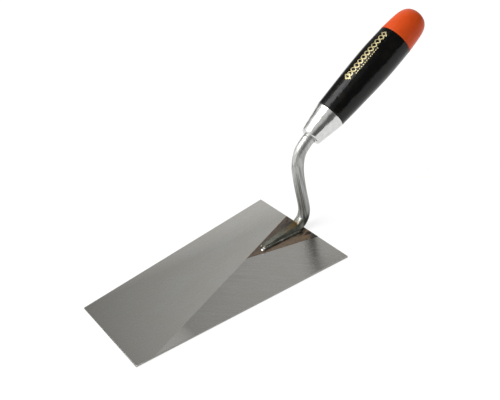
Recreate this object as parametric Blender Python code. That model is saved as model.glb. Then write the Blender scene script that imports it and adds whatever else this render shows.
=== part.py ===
"""Bricklayer's trowel: a ground steel blade, a swan-neck tang welded to it and a turned handle.

The blade lies flat on z = 0, with its front edge towards -X and its centre line on y = 0.
The neck rises from the blade's back edge and the handle climbs towards +X. Lengths are in metres.
"""

import math

import bmesh
import bpy
from mathutils import Vector

# The gap kept between pieces that touch.
GAP = 0.0003

# Blade, seen from above: a trapezium that is widest at its back edge.
BLADE_LENGTH = 0.180
BLADE_BACK_WIDTH = 0.119
BLADE_FRONT_WIDTH = 0.090
BACK_EDGE_X = 0.0178  # centres the whole trowel on the origin
FRONT_EDGE_X = BACK_EDGE_X - BLADE_LENGTH

# Two ground faces meet in a straight crease that crosses the blade from the back edge.
CREASE_START_Y = 0.0209  # on the back edge
CREASE_END_FROM_FRONT = 0.0145  # on the near side edge
CREASE_START_THICKNESS = 0.0019
CREASE_END_THICKNESS = 0.0013
FAR_FRONT_THICKNESS = 0.0010
NEAR_BACK_THICKNESS = 0.0015

# An unground triangle is left proud of the ground faces, as a seat for the tang.
SEAT_LENGTH = 0.0563
SEAT_NEAR_Y = -0.0223
SEAT_THICKNESS = 0.0020
SEAT_CHAMFER = 0.0006
SEAT_APEX_CHAMFER = 0.0015

# Handle: its axis rises behind the neck. Distances along the axis start at the ferrule's rim.
HANDLE_PITCH = math.radians(25.4)
RIM_BEHIND_BACK_EDGE = 0.0450
RIM_HEIGHT = 0.0850
FERRULE_LENGTH = 0.0246
FERRULE_MOUTH_RADIUS = 0.0088
FERRULE_RIM_RADIUS = 0.0128
FERRULE_RIM_LIP = 0.0008  # along the rim, where the cone's edge is broken
FERRULE_EDGE_RADIUS = 0.0022
FERRULE_WALL = 0.0008
FERRULE_HOLE_RADIUS = 0.0055
GRIP_LENGTH = 0.0800
GRIP_START_RADIUS = 0.0128
GRIP_WAIST_RADIUS = 0.0141
GRIP_WAIST_AT = 0.30  # as a share of the grip's length
GRIP_BELLY_RADIUS = 0.0153
GRIP_BELLY_AT = 0.68
GRIP_END_RADIUS = 0.0148
GRIP_CURVE_STEPS = 5
CAP_LENGTH = 0.0290
CAP_TAPER = 0.085  # radius lost per length, before the end rounds over
CAP_FLATNESS = 6  # a higher power keeps the taper straight for longer
CAP_ROUNDNESS = 0.42
CAP_RINGS = 16
TENON_RADIUS = 0.0065
TENON_LENGTH = 0.0120
BORE_MARGIN = 0.0004

# Tang: the foot is flat on the seat, the neck is round, and the spike narrows inside the grip.
NECK_RADIUS_LOW = 0.0048
NECK_RADIUS_HIGH = 0.0050
SPIKE_LENGTH = 0.0790
SPIKE_TIP_RADIUS = 0.0014
FOOT_LENGTH = 0.0390
FOOT_BASE = SEAT_THICKNESS + GAP
FOOT_SQUARENESS = 4.5

# Weld beads beside the foot and in front of it.
BEAD_HALF_WIDTH = 0.0009
BEAD_HEIGHT = 0.0013
BEAD_SQUARENESS = 2.6
BEAD_END_SCALE = 0.55
NUB_RADIUS = 0.0017
NUB_WIDTH_SCALE = 1.1
NUB_HEIGHT_SCALE = 0.55
NUB_OFFSET = 0.0025  # towards the near side

# How finely round pieces are divided.
TURNED_SIDES = 40
TANG_SIDES = 24
BEAD_SIDES = 8
STEPS_BETWEEN_STATIONS = 4
NUB_SEGMENTS = 12
NUB_RINGS = 8
EDGE_STEPS_OUTSIDE = 5
EDGE_STEPS_INSIDE = 3
SHARP_ANGLE = math.radians(35)
MERGE_DISTANCE = 1e-7


def clear_scene():
    for obj in list(bpy.data.objects):
        bpy.data.objects.remove(obj)


def finish(name, colour, roughness, metallic):
    """A Principled material for one sub-part."""
    material = bpy.data.materials.new(name)
    material.use_nodes = True
    shader = material.node_tree.nodes["Principled BSDF"]
    shader.inputs["Base Color"].default_value = (*colour, 1)
    shader.inputs["Roughness"].default_value = roughness
    shader.inputs["Metallic"].default_value = metallic
    return material


def add_piece(name, shape, material, parent=None, smooth=True):
    """Turns a bmesh into a named object of its own."""
    bmesh.ops.recalc_face_normals(shape, faces=shape.faces)
    mesh = bpy.data.meshes.new(name)
    shape.to_mesh(mesh)
    shape.free()
    if smooth:
        mesh.shade_smooth()
        mesh.set_sharp_from_angle(angle=SHARP_ANGLE)
    mesh.materials.append(material)
    piece = bpy.data.objects.new(name, mesh)
    piece.parent = parent
    bpy.context.scene.collection.objects.link(piece)
    return piece


def mix(start, end, share):
    return start + (end - start) * share


def smooth_through(stations, steps):
    """Points of a Catmull-Rom curve through the stations, each a tuple of numbers."""
    ends = [stations[0], *stations, stations[-1]]
    points = []
    for before, start, end, after in zip(ends, ends[1:], ends[2:], ends[3:]):
        for step in range(steps):
            t = step / steps
            weights = (
                (-t**3 + 2 * t**2 - t) / 2,
                (3 * t**3 - 5 * t**2 + 2) / 2,
                (-3 * t**3 + 4 * t**2 + t) / 2,
                (t**3 - t**2) / 2,
            )
            corners = zip(before, start, end, after)
            points.append(tuple(sum(w * c for w, c in zip(weights, four)) for four in corners))
    return points + [tuple(stations[-1])]


def loft(rings):
    """A closed skin over rings that hold equally many points."""
    shape = bmesh.new()
    loops = [[shape.verts.new(point) for point in ring] for ring in rings]
    for low, high in zip(loops, loops[1:]):
        for i, vertex in enumerate(low):
            shape.faces.new((low[i - 1], vertex, high[i], high[i - 1]))
    shape.faces.new(loops[0])
    shape.faces.new(loops[-1])
    return shape


def superellipse(angle, exponent):
    """A point on the unit superellipse: 2 is a circle, and more is squarer."""
    across = math.cos(angle)
    up = math.sin(angle)
    power = 2 / exponent
    return math.copysign(abs(across) ** power, across), math.copysign(abs(up) ** power, up)


def turned(profile):
    """A solid of revolution about X. The profile's points are (distance along X, radius)."""
    shape = bmesh.new()
    points = [shape.verts.new((along, 0, radius)) for along, radius in profile]
    edges = [shape.edges.new(pair) for pair in zip(points, points[1:])]
    if profile[0][1] > 0:
        edges.append(shape.edges.new((points[-1], points[0])))
    bmesh.ops.spin(
        shape,
        geom=points + edges,
        axis=(1, 0, 0),
        cent=(0, 0, 0),
        angle=math.tau,
        steps=TURNED_SIDES,
        use_merge=True,
    )
    bmesh.ops.remove_doubles(shape, verts=shape.verts, dist=MERGE_DISTANCE)
    return shape


def arc(centre, radius, start, end, steps):
    """Points of an arc in a profile, from one angle in degrees to another."""
    points = []
    for step in range(steps + 1):
        angle = math.radians(mix(start, end, step / steps))
        points.append((centre[0] + radius * math.cos(angle), centre[1] + radius * math.sin(angle)))
    return points


# --- Blade ---------------------------------------------------------------------------------


def plane_through(first, second, third):
    """The height of the plane through three points, as a function of x and y."""
    first = Vector(first)
    normal = (Vector(second) - first).cross(Vector(third) - first)

    def point_at(x, y):
        z = first.z - (normal.x * (x - first.x) + normal.y * (y - first.y)) / normal.z
        return Vector((x, y, z))

    return point_at


def half_width_at(x):
    share = (BACK_EDGE_X - x) / BLADE_LENGTH
    return mix(BLADE_BACK_WIDTH, BLADE_FRONT_WIDTH, share) / 2


def blade_corners():
    """The blade's corners by name: the flat underside, the two ground faces and the seat."""
    back = BLADE_BACK_WIDTH / 2
    front = BLADE_FRONT_WIDTH / 2
    crease_end_x = FRONT_EDGE_X + CREASE_END_FROM_FRONT
    crease_start = (BACK_EDGE_X, CREASE_START_Y, CREASE_START_THICKNESS)
    crease_end = (crease_end_x, -half_width_at(crease_end_x), CREASE_END_THICKNESS)
    far_front = (FRONT_EDGE_X, front, FAR_FRONT_THICKNESS)
    near_back = (BACK_EDGE_X, -back, NEAR_BACK_THICKNESS)
    far_face = plane_through(crease_start, crease_end, far_front)
    near_face = plane_through(crease_start, crease_end, near_back)
    apex_x, apex_y = seat_apex()
    return {
        "low_far_back": (BACK_EDGE_X, back, 0),
        "low_far_front": (FRONT_EDGE_X, front, 0),
        "low_near_front": (FRONT_EDGE_X, -front, 0),
        "low_near_back": (BACK_EDGE_X, -back, 0),
        "far_back": far_face(BACK_EDGE_X, back),
        "far_front": far_front,
        "near_front": far_face(FRONT_EDGE_X, -front),
        "near_back": near_back,
        "crease_end": crease_end,
        "crease_start": crease_start,
        "apex": far_face(apex_x, apex_y),
        "seat_near": near_face(BACK_EDGE_X, SEAT_NEAR_Y),
        "seat_top_far": (BACK_EDGE_X, CREASE_START_Y - SEAT_CHAMFER, SEAT_THICKNESS),
        "seat_top_near": (BACK_EDGE_X, SEAT_NEAR_Y + SEAT_CHAMFER, SEAT_THICKNESS),
        "seat_top_apex": (apex_x + SEAT_APEX_CHAMFER, apex_y, SEAT_THICKNESS),
    }


UNDERSIDE = ("low_far_back", "low_far_front", "low_near_front", "low_near_back")
FAR_FACE = ("far_back", "crease_start", "apex", "crease_end", "near_front", "far_front")
NEAR_FACE = ("seat_near", "near_back", "crease_end", "apex")
SEAT_TOP = ("seat_top_far", "seat_top_near", "seat_top_apex")
SEAT_FAR_SLOPE = ("crease_start", "seat_top_far", "seat_top_apex", "apex")
SEAT_NEAR_SLOPE = ("apex", "seat_top_apex", "seat_top_near", "seat_near")
BACK_LOW_HALF = ("low_far_back", "low_near_back", "near_back", "seat_near")
BACK_HIGH_HALF = ("seat_top_near", "seat_top_far", "crease_start", "far_back")
FAR_EDGE = ("far_back", "far_front", "low_far_front", "low_far_back")
FRONT_EDGE = ("far_front", "near_front", "low_near_front", "low_far_front")
NEAR_EDGE = ("near_front", "crease_end", "near_back", "low_near_back", "low_near_front")


def build_blade(material):
    shape = bmesh.new()
    corners = {name: shape.verts.new(place) for name, place in blade_corners().items()}
    outlines = (
        UNDERSIDE,
        FAR_FACE,
        NEAR_FACE,
        SEAT_TOP,
        SEAT_FAR_SLOPE,
        SEAT_NEAR_SLOPE,
        BACK_LOW_HALF + BACK_HIGH_HALF,
        FAR_EDGE,
        FRONT_EDGE,
        NEAR_EDGE,
    )
    for outline in outlines:
        shape.faces.new([corners[name] for name in outline])
    add_piece("blade", shape, material, smooth=False)


# --- Tang ----------------------------------------------------------------------------------


def seat_apex():
    """The x and y of the seat's front point, which lies on the crease."""
    crease_end_x = FRONT_EDGE_X + CREASE_END_FROM_FRONT
    share = SEAT_LENGTH / (BACK_EDGE_X - crease_end_x)
    return BACK_EDGE_X - SEAT_LENGTH, mix(CREASE_START_Y, -half_width_at(crease_end_x), share)


def station(x, z, half_thickness, base_half_width, top_half_width, squareness=2.0):
    """A cross-section of the tang. The part ahead of the back edge points at the seat's apex."""
    apex_y = seat_apex()[1]
    y = apex_y * max(BACK_EDGE_X - x, 0) / SEAT_LENGTH
    return (x, y, z, half_thickness, base_half_width, top_half_width, squareness)


def foot_station(ahead, thickness, base_half_width, top_half_width):
    """A flat-bottomed cross-section of the foot, so far ahead of the back edge."""
    middle = FOOT_BASE + thickness / 2
    widths = (base_half_width, top_half_width)
    return station(BACK_EDGE_X - ahead, middle, thickness / 2, *widths, FOOT_SQUARENESS)


def neck_station(behind, height, radius):
    """A round cross-section of the neck, so far behind the back edge."""
    return station(BACK_EDGE_X + behind, height, radius, radius, radius)


def on_handle_axis(along):
    """The x and z of a point on the handle's axis."""
    x = BACK_EDGE_X + RIM_BEHIND_BACK_EDGE + along * math.cos(HANDLE_PITCH)
    return x, RIM_HEIGHT + along * math.sin(HANDLE_PITCH)


def spike_radius(along):
    """The tang narrows evenly from the ferrule's mouth to the spike's tip."""
    share = max(along + FERRULE_LENGTH, 0) / SPIKE_LENGTH
    return mix(NECK_RADIUS_HIGH, SPIKE_TIP_RADIUS, share)


def spike_station(along):
    radius = spike_radius(along)
    return station(*on_handle_axis(along), radius, radius, radius)


# Distance ahead of the back edge, thickness, half width at the base and half width at the top.
FOOT_STATIONS = (
    foot_station(FOOT_LENGTH, 0.0015, 0.0025, 0.0017),
    foot_station(0.0280, 0.0024, 0.0036, 0.0026),
    foot_station(0.0150, 0.0037, 0.0050, 0.0032),
    foot_station(0.0060, 0.0052, 0.0060, 0.0038),
)


def tang_stations():
    """The whole tang from the foot's tip to the spike's."""
    # From flat and square to round, while the tang turns upwards behind the back edge.
    bend = (
        station(BACK_EDGE_X - 0.0018, 0.0060, 0.0036, 0.0059, 0.0042, 3.2),
        station(BACK_EDGE_X + 0.0022, 0.0087, 0.0042, 0.0054, 0.0046, 2.5),
        station(BACK_EDGE_X + 0.0047, 0.0128, 0.0046, 0.0049, 0.0048, 2.2),
    )
    # Distance behind the back edge, height and radius.
    neck = (
        neck_station(0.0058, 0.0191, NECK_RADIUS_LOW),
        neck_station(0.0057, 0.0388, NECK_RADIUS_LOW),
        neck_station(0.0068, 0.0546, mix(NECK_RADIUS_LOW, NECK_RADIUS_HIGH, 0.7)),
        neck_station(0.0115, 0.0663, NECK_RADIUS_HIGH),
    )
    distances = (-1.15 * FERRULE_LENGTH, -FERRULE_LENGTH, -0.4 * FERRULE_LENGTH)
    spike = [spike_station(along) for along in (*distances, SPIKE_LENGTH - FERRULE_LENGTH)]
    return [*FOOT_STATIONS, *bend, *neck, *spike]


def cross_sections(stations, sides):
    """Rings square to the path through the stations, as seen from the side."""
    points = smooth_through(stations, STEPS_BETWEEN_STATIONS)
    rings = []
    for i, (x, y, z, half_thickness, base, top, squareness) in enumerate(points):
        before = points[max(i - 1, 0)]
        after = points[min(i + 1, len(points) - 1)]
        direction = Vector((after[0] - before[0], 0, after[2] - before[2])).normalized()
        normal = Vector((-direction.z, 0, direction.x))
        ring = []
        for side in range(sides):
            across, up = superellipse(math.tau * (side + 0.5) / sides, squareness)
            half_width = mix(base, top, (up + 1) / 2)
            offset = normal * up * half_thickness + Vector((0, across * half_width, 0))
            ring.append(Vector((x, y, z)) + offset)
        rings.append(ring)
    return rings


def build_tang(material):
    add_piece("tang", loft(cross_sections(tang_stations(), TANG_SIDES)), material)


# --- Welds ---------------------------------------------------------------------------------


def bead_ring(x, y, scale):
    """A cross-section of a bead that lies on the seat."""
    ring = []
    for side in range(BEAD_SIDES):
        across, up = superellipse(math.tau * (side + 0.5) / BEAD_SIDES, BEAD_SQUARENESS)
        height = FOOT_BASE + BEAD_HEIGHT / 2 * (1 + up * scale)
        ring.append((x, y + across * BEAD_HALF_WIDTH * scale, height))
    return ring


def build_side_weld(name, side, material):
    """A bead along the foot, on the side whose y has the given sign."""
    along_foot = smooth_through(FOOT_STATIONS, STEPS_BETWEEN_STATIONS)
    rings = []
    for i, (x, middle_y, _, _, base, _, _) in enumerate(along_foot):
        end_scale = BEAD_END_SCALE if i in (0, len(along_foot) - 1) else 1.0
        y = middle_y + side * (base + GAP + BEAD_HALF_WIDTH)
        rings.append(bead_ring(x, y, end_scale))
    add_piece(name, loft(rings), material)


def build_tip_weld(material):
    """A flattened drop in front of the foot's tip."""
    shape = bmesh.new()
    segments = {"u_segments": NUB_SEGMENTS, "v_segments": NUB_RINGS}
    bmesh.ops.create_uvsphere(shape, radius=NUB_RADIUS, **segments)
    bmesh.ops.scale(shape, vec=(1, NUB_WIDTH_SCALE, NUB_HEIGHT_SCALE), verts=shape.verts)
    foot_end = FOOT_STATIONS[0]
    centre_x = foot_end[0] - GAP - NUB_RADIUS
    centre_z = FOOT_BASE + NUB_RADIUS * NUB_HEIGHT_SCALE
    offset = (centre_x, foot_end[1] - NUB_OFFSET, centre_z)
    bmesh.ops.translate(shape, vec=offset, verts=shape.verts)
    add_piece("weld_tip", shape, material)


# --- Handle --------------------------------------------------------------------------------


def add_handle_axis():
    """An empty at the ferrule's rim, with its X along the handle towards the orange end."""
    axis = bpy.data.objects.new("handle_axis", None)
    x, z = on_handle_axis(0)
    axis.location = (x, 0, z)
    axis.rotation_euler = (0, -HANDLE_PITCH, 0)
    bpy.context.scene.collection.objects.link(axis)
    return axis


def build_ferrule(material, axis):
    """A conical shell whose front edge is rolled in to the hole for the tang."""
    mouth = -FERRULE_LENGTH
    edge = FERRULE_EDGE_RADIUS
    inner_edge = edge - FERRULE_WALL
    cone = math.degrees(math.atan2(FERRULE_RIM_RADIUS - FERRULE_MOUTH_RADIUS, FERRULE_LENGTH))
    corner = (mouth + edge, FERRULE_MOUTH_RADIUS - edge)
    outside = [(mouth, FERRULE_HOLE_RADIUS), *arc(corner, edge, 180, 90 + cone, EDGE_STEPS_OUTSIDE)]
    outside += [(-FERRULE_RIM_LIP, FERRULE_RIM_RADIUS), (0, FERRULE_RIM_RADIUS - GAP)]
    inside = [(0, FERRULE_RIM_RADIUS - FERRULE_WALL)]
    inside += arc(corner, inner_edge, 90 + cone, 180, EDGE_STEPS_INSIDE)
    inside += [(mouth + FERRULE_WALL, FERRULE_HOLE_RADIUS)]
    add_piece("ferrule", turned(outside + inside), material, axis)


def grip_outline():
    """The grip's outer profile from the ferrule's rim to the end cap."""
    stations = (
        (2 * GAP, GRIP_START_RADIUS),
        (GRIP_WAIST_AT * GRIP_LENGTH, GRIP_WAIST_RADIUS),
        (GRIP_BELLY_AT * GRIP_LENGTH, GRIP_BELLY_RADIUS),
        (GRIP_LENGTH, GRIP_END_RADIUS),
    )
    return smooth_through(stations, GRIP_CURVE_STEPS)


def build_grip(material, axis):
    """Turned wood: a blind bore, a nose under the ferrule, the held part and a tenon."""
    bore_end = SPIKE_LENGTH - FERRULE_LENGTH + 2 * BORE_MARGIN
    nose_start = GAP + FERRULE_WALL + FERRULE_EDGE_RADIUS - FERRULE_LENGTH
    clearance = FERRULE_WALL + GAP
    nose_radius = FERRULE_RIM_RADIUS - clearance - GAP
    profile = [
        (bore_end, 0),
        (bore_end, SPIKE_TIP_RADIUS + BORE_MARGIN),
        (nose_start, spike_radius(nose_start) + BORE_MARGIN),
        (nose_start, FERRULE_MOUTH_RADIUS - clearance),
        (-2 * GAP, nose_radius),
        (GAP, nose_radius),
        (GAP, GRIP_START_RADIUS - GAP),
        *grip_outline(),
        (GRIP_LENGTH, TENON_RADIUS),
        (GRIP_LENGTH + TENON_LENGTH, TENON_RADIUS),
        (GRIP_LENGTH + TENON_LENGTH, 0),
    ]
    add_piece("grip", turned(profile), material, axis)


def cap_radius(share):
    """The end cap's radius at a share of its length: a slight taper that rounds over."""
    taper = GRIP_END_RADIUS - CAP_TAPER * CAP_LENGTH * share
    return taper * (1 - share**CAP_FLATNESS) ** CAP_ROUNDNESS


def build_end_cap(material, axis):
    """The rounded end, hollowed for the grip's tenon."""
    start = GRIP_LENGTH + GAP
    socket_radius = TENON_RADIUS + GAP
    socket_end = GRIP_LENGTH + TENON_LENGTH + GAP
    profile = [(socket_end, 0), (socket_end, socket_radius), (start, socket_radius)]
    for ring in range(CAP_RINGS + 1):
        # Rings crowd towards the end, where the outline turns fastest.
        share = math.sin(math.pi / 2 * ring / CAP_RINGS)
        profile.append((start + (CAP_LENGTH - GAP) * share, cap_radius(share)))
    add_piece("end_cap", turned(profile), material, axis)


def main():
    clear_scene()
    ground_steel = finish("ground_steel", (0.42, 0.42, 0.40), 0.32, 1.0)
    forged_steel = finish("forged_steel", (0.38, 0.38, 0.36), 0.38, 1.0)
    weld_metal = finish("weld_metal", (0.30, 0.28, 0.25), 0.45, 1.0)
    polished_steel = finish("polished_steel", (0.78, 0.78, 0.77), 0.10, 1.0)
    black_lacquer = finish("black_lacquer", (0.008, 0.008, 0.008), 0.12, 0.0)
    orange_paint = finish("orange_paint", (0.60, 0.075, 0.012), 0.45, 0.0)

    build_blade(ground_steel)
    build_tang(forged_steel)
    build_side_weld("weld_left", 1, weld_metal)
    build_side_weld("weld_right", -1, weld_metal)
    build_tip_weld(weld_metal)
    axis = add_handle_axis()
    build_ferrule(polished_steel, axis)
    build_grip(black_lacquer, axis)
    build_end_cap(orange_paint, axis)


main()
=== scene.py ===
"""Looks of a bricklayer's trowel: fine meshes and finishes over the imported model, in a plain studio.

The blade lies flat on z = 0 with its front edge towards -X. Lengths are in metres.
"""

import math

import bmesh
import bpy
import numpy as np
from mathutils import Matrix, Vector, noise


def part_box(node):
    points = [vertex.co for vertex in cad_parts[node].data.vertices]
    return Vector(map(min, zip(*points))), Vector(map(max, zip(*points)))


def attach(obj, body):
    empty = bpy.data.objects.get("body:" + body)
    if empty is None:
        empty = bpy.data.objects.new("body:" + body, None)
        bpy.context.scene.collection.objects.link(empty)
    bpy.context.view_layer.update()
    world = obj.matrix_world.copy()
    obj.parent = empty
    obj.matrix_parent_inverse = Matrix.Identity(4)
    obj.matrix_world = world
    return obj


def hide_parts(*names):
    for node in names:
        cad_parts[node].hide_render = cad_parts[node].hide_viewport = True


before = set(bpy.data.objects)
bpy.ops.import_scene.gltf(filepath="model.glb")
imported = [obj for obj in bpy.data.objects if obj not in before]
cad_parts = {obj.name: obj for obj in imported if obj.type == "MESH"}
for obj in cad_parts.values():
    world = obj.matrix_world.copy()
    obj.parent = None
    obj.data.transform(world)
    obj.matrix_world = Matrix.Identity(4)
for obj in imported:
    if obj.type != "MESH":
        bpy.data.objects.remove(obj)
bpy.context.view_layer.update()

# Blade: its length, back width and height come from the frame.
BLADE_LOW, BLADE_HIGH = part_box("blade")
BACK_EDGE_X = BLADE_HIGH.x
FRONT_EDGE_X = BLADE_LOW.x
BLADE_LENGTH = BACK_EDGE_X - FRONT_EDGE_X
BLADE_BACK_WIDTH = BLADE_HIGH.y - BLADE_LOW.y
BLADE_FRONT_WIDTH = 0.090
EDGE_BEVEL = 0.00012
BEVEL_OVER = math.radians(50)

# Two ground faces meet in a crease, and an unground triangle is the seat for the tang.
CREASE_START_Y = 0.0209
CREASE_END_X = FRONT_EDGE_X + 0.0145
CREASE_START_THICKNESS = 0.0019
CREASE_END_THICKNESS = 0.0013
FAR_FRONT_THICKNESS = 0.0010
NEAR_BACK_THICKNESS = 0.0015
SEAT_LENGTH = 0.0563
SEAT_NEAR_Y = -0.0223
SEAT_TOP = BLADE_HIGH.z
SEAT_CHAMFER = 0.0006
SEAT_APEX_CHAMFER = 0.0015
SEAT_ROWS = 56
SCALE_DEPTH = 0.00005
SCALE_COARSE_NOISE = 700
SCALE_FINE_NOISE = 1900

# Ground faces: colours, and the direction of the grinding marks in degrees from +X. The near colour is
# painted shade.
FAR_STEEL = (0.44, 0.437, 0.420)
# The same steel as the far face, made darker as painted shade.
NEAR_STEEL_PAINTED_SHADE = (0.285, 0.281, 0.272)
GROUND_ROUGHNESS = 0.27
FAR_MARKS = 4
NEAR_MARKS = -51
FAR_LINE_DEPTH = 0.05
NEAR_LINE_DEPTH = 0.14

# Grinding left the near face hollow behind the front edge: where that starts and ends, and its rise.
HOLLOW_X = (FRONT_EDGE_X + 0.048, FRONT_EDGE_X + 0.004)
FAR_HOLLOW_RISE = 0.0
NEAR_HOLLOW_RISE = 0.0065

# Mill scale on the seat: its heat colours, a darker tone at the near back corner, and where its near side,
# its heat and its corner begin and end.
STRAW_OXIDE = (0.190, 0.125, 0.050)
BURNT_OXIDE = (0.016, 0.014, 0.012)
# Darker tone towards the seat's near back corner.
NEAR_BACK_CORNER_DARK = (0.030, 0.027, 0.021)
SCALE_NEAR_Y = (0.004, -0.010)
SCALE_HEAT_X = (BACK_EDGE_X - 0.020, BACK_EDGE_X - 0.003)
SCALE_CORNER = (BACK_EDGE_X + 0.0125, BACK_EDGE_X + 0.0165)

# Handle: distances along its axis start at the ferrule's rim.
HANDLE_PITCH = math.radians(25.4)
RIM_PLACE = Vector((BACK_EDGE_X + 0.0450, 0, 0.0850))
FERRULE_LENGTH = 0.0246
FERRULE_MOUTH_RADIUS = 0.0088
FERRULE_RIM_RADIUS = 0.0128
FERRULE_EDGE_RADIUS = 0.0022
FERRULE_WALL = 0.0008
FERRULE_HOLE_RADIUS = 0.0053
FERRULE_RIM_ROLL = 0.0004
GRIP_LENGTH = 0.0800
GRIP_START_RADIUS = 0.0128
GRIP_WAIST_RADIUS = 0.0141
GRIP_WAIST_AT = 0.30
GRIP_BELLY_RADIUS = 0.0153
GRIP_BELLY_AT = 0.68
GRIP_END_RADIUS = 0.0148
GRIP_EDGE_RADIUS = 0.0008
GRIP_STEPS = 16
CAP_LENGTH = 0.0290
CAP_TAPER = 0.085
CAP_FLATNESS = 6
CAP_ROUNDNESS = 0.42
CAP_EDGE_RADIUS = 0.0004
CAP_RINGS = 48
START_GAP = 0.0003
SEAM = 0.0001
TENON_RADIUS = 0.0065
TENON_LENGTH = 0.0120

# Tang: a flat foot, a neck with forged flats that fade upwards, and a spike inside the grip.
NECK_RADIUS_LOW = 0.0048
NECK_RADIUS_MIDDLE = 0.00494
NECK_RADIUS_HIGH = 0.0050
SPIKE_LENGTH = 0.0790
SPIKE_TIP_RADIUS = 0.0014
FOOT_LENGTH = 0.0390
FOOT_BASE = SEAT_TOP
FOOT_SQUARENESS = 5.0
FLATS = 6
FLAT_DEPTH = 0.075
FLATS_START = (0.006, 0.014)
FLATS_FADE = (0.030, 0.068)
DENT_NOISE_SCALE = 260
DENT_DEPTH = 0.00003
TANG_STEPS = 10

# Foot's sections: distance ahead of the back edge, thickness, half width at the base and at the top.
FOOT_SECTIONS = (
    (FOOT_LENGTH, 0.0018, 0.0025, 0.0016),
    (0.0280, 0.0027, 0.0036, 0.0025),
    (0.0150, 0.0040, 0.0050, 0.0031),
    (0.0060, 0.0055, 0.0060, 0.0037),
)
# Bend's sections: distance behind the back edge, height, half thickness, half widths and squareness.
BEND_SECTIONS = (
    (-0.0018, 0.0059, 0.0037, 0.0059, 0.0042, 3.2),
    (0.0022, 0.0087, 0.0042, 0.0054, 0.0046, 2.5),
    (0.0047, 0.0128, 0.0046, 0.0049, 0.0048, 2.2),
)
# Neck's sections: distance behind the back edge, height and radius.
NECK_SECTIONS = (
    (0.0058, 0.0191, NECK_RADIUS_LOW),
    (0.0057, 0.0388, NECK_RADIUS_LOW),
    (0.0068, 0.0546, NECK_RADIUS_MIDDLE),
    (0.0115, 0.0663, NECK_RADIUS_HIGH),
)
# The spike's sections along the handle, before its tip, in ferrule lengths from the rim.
SPIKE_SECTIONS = (-1.15, -1, -0.4)

# The tang's colours, and where its finishes start and are full: heights, and places along X.
STREAK_GREY = (0.15, 0.15, 0.14)
DULL_STEEL = (0.27, 0.268, 0.258)
SEAM_GREY = (0.085, 0.085, 0.078)
# Near black for the painted shadow under the bend.
PAINTED_SHADOW_BLACK = (0.018, 0.017, 0.014)
STREAK_HEIGHTS = (0.070, 0.054)
SEAM_HEIGHTS = (0.066, 0.040)
DULL_HEIGHTS = (0.036, 0.014)
SHEEN_HEIGHTS = (0.035, 0.066)
GLOSS_HEIGHTS = (0.018, 0.011)
# Heights where the painted shadow under the bend starts and where it is full.
PAINTED_SHADOW_HEIGHTS = (0.0165, 0.0085)
FOOT_HEIGHTS = (0.0106, 0.0088)
FOOT_GOLD_X = (BACK_EDGE_X - 0.026, BACK_EDGE_X - 0.006)
# Places along X where the painted shadow under the bend starts and where it is full.
PAINTED_SHADOW_X = (BACK_EDGE_X - 0.003, BACK_EDGE_X + 0.001)

# Weld metal: the beads along the foot.
BEAD_VOXEL = 0.00022
BEAD_STEP = 0.0009
BEAD_RADIUS = 0.0017
BEAD_NOISE_SCALE = 900
BEAD_PATH_STEPS = 24
BEAD_WOBBLE = 0.00015
BEAD_LIFT = 0.0003
BEAD_FLATNESS = 0.95
# The drops at the foot's tip: place from the middle of the CAD's nub and the seat, radius, flatness.
TIP_DROPS = (
    ((0, 0, 0.0005), 0.0020, 0.75),
    ((0.0024, 0.0014, 0.0006), 0.0018, 0.75),
    ((0.0048, 0.0036, 0.0007), 0.0016, 0.80),
)
BRIGHT_METAL = (0.80, 0.79, 0.76)
TIP_STRAW_X = (BACK_EDGE_X - 0.0403, BACK_EDGE_X - 0.0383)

# Gold ornament on the grip: places along the axis and round it, in metres.
ORNAMENT_START = 0.0300
ORNAMENT_END = 0.0725
ORNAMENT_ANGLE = math.radians(9)
ORNAMENT_SLANT = 0.18
RIBBON_HEIGHT = 0.0021
RIBBON_HALF_WIDTH = 0.00046
RIBBON_WAVES = 5
RIBBON_STEPS = 160
RIBBON_OVERLAP = 1.4
# Lozenges: half length and half height, the same for the hole, and each one's place and scale.
LOZENGE = (0.0026, 0.0034)
LOZENGE_HOLE = (0.0012, 0.0016)
LOZENGES = ((ORNAMENT_START - 0.0008, 1.15), (ORNAMENT_END + 0.0014, 1.0))
# Dashed rule: its span along the axis, its place round it, and each dash's half length and height.
DASH_COUNT = 13
DASHES_OVER = (0.0350, 0.0610)
DASHES_ROUND = 0.0040
DASH = (0.00065, 0.00040)
DASH_HOLE = (0.00002, 0.00002)
DASH_SQUARENESS = 5
FOIL_SIDES = 32
FOIL_LIFT = 0.00004

# How finely the round pieces are cut.
TURNED_SIDES = 128
TANG_SIDES = 72

# Floor: half its width, how far it lies under the blade, its own light and its darkest and palest tone.
FLOOR_REACH = 30
FLOOR_DROP = 0.0002
FLOOR_EMISSION = 0.80
FLOOR_TONES = (0.21, 0.23)

# Key light: azimuth and elevation in degrees, the angle it spans and its strength.
KEY_TOWARDS = (-66, 58)
KEY_ANGLE = math.radians(46)
KEY_STRENGTH = 2.28

# The room's own light, and its glows: direction, cosines where the glow starts and is full, strength.
ROOM_COLOUR = (1, 1, 0.985, 1)
ROOM_LEVEL = 0.14
ROOM_GLOWS = (
    ((-30, 6), 0.80, 0.96, 0.70),
    ((50, 32), 0.80, 0.96, 0.92),
    ((-122, 46), 0.84, 0.98, 0.62),
    ((-72, 24), 0.78, 0.96, 1.15),
    ((-30, 37), 0.93, 0.98, 0.90),
)

# Camera: place, direction and roll, lens and sensor in millimetres.
CAMERA_PLACE = Vector((-0.2798, -0.5047, 0.4066))
CAMERA_AZIMUTH = 26.98
CAMERA_ELEVATION = 32.29
CAMERA_ROLL = math.radians(12.94)
CAMERA_LENS = 62.64
CAMERA_SENSOR = 36
CAMERA_CLIP = 0.01


# --- Shapes --------------------------------------------------------------------------------


def mix(start, end, share):
    return start + (end - start) * share


def smooth_step(low, high, value):
    share = min(max((value - low) / (high - low), 0), 1)
    return share * share * (3 - 2 * share)


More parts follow.
